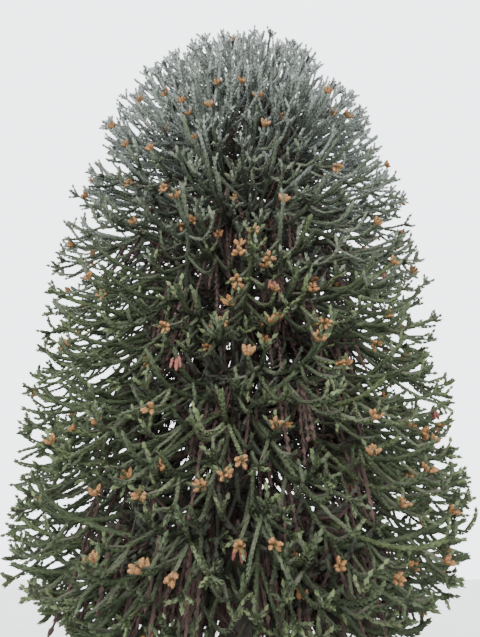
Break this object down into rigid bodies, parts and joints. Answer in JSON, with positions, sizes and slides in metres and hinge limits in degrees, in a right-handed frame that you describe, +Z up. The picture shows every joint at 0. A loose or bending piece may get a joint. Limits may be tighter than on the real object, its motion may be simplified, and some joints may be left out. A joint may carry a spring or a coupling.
{
  "type": "monkey puzzle tree",
  "caption": "Tall evergreen tree with a broad domed column of drooping, rope-like leafy shoots that turn up at their tips, around a straight tapering trunk.",
  "frame": {"origin": "middle of the flat cut across the foot of the trunk, at ground level", "axes": "+Z up along the trunk; -Y towards the viewer, the side that the picture shows"},
  "size_m": [7.6122, 7.6189, 13.9242],
  "materials": {
    "bark": "rough grey-brown bark with level rings",
    "bough": "rough brown bark with leaf scars",
    "foliage": "dull dark green scale leaves",
    "cone": "dull tan-orange pollen cones",
    "dry_twig": "dull red-brown dry shoots"
  },
  "bodies": {
    "root": {"trunk": "bark", "bough_skirt_1": "bough", "bough_skirt_2": "bough", "bough_skirt_3": "bough", "bough_skirt_4": "bough", "bough_skirt_5": "bough", "bough_skirt_6": "bough", "bough_low_1": "bough", "bough_low_2": "bough", "bough_low_3": "bough", "bough_low_4": "bough", "bough_low_5": "bough", "bough_low_6": "bough", "bough_middle_1": "bough", "bough_middle_2": "bough", "bough_middle_3": "bough", "bough_middle_4": "bough", "bough_middle_5": "bough", "bough_middle_6": "bough", "bough_high_1": "bough", "bough_high_2": "bough", "bough_high_3": "bough", "bough_high_4": "bough", "bough_high_5": "bough", "bough_shoulder_1": "bough", "bough_shoulder_2": "bough", "bough_shoulder_3": "bough", "bough_shoulder_4": "bough", "bough_shoulder_5": "bough", "foliage_skirt_1": "foliage", "foliage_skirt_2": "foliage", "foliage_skirt_3": "foliage", "foliage_skirt_4": "foliage", "foliage_skirt_5": "foliage", "foliage_skirt_6": "foliage", "foliage_low_1": "foliage", "foliage_low_2": "foliage", "foliage_low_3": "foliage", "foliage_low_4": "foliage", "foliage_low_5": "foliage", "foliage_low_6": "foliage", "foliage_middle_1": "foliage", "foliage_middle_2": "foliage", "foliage_middle_3": "foliage", "foliage_middle_4": "foliage", "foliage_middle_5": "foliage", "foliage_middle_6": "foliage", "foliage_high_1": "foliage", "foliage_high_2": "foliage", "foliage_high_3": "foliage", "foliage_high_4": "foliage", "foliage_high_5": "foliage", "foliage_shoulder_1": "foliage", "foliage_shoulder_2": "foliage", "foliage_shoulder_3": "foliage", "foliage_shoulder_4": "foliage", "foliage_shoulder_5": "foliage", "foliage_top": "foliage"}
  },
  "joints": []
}
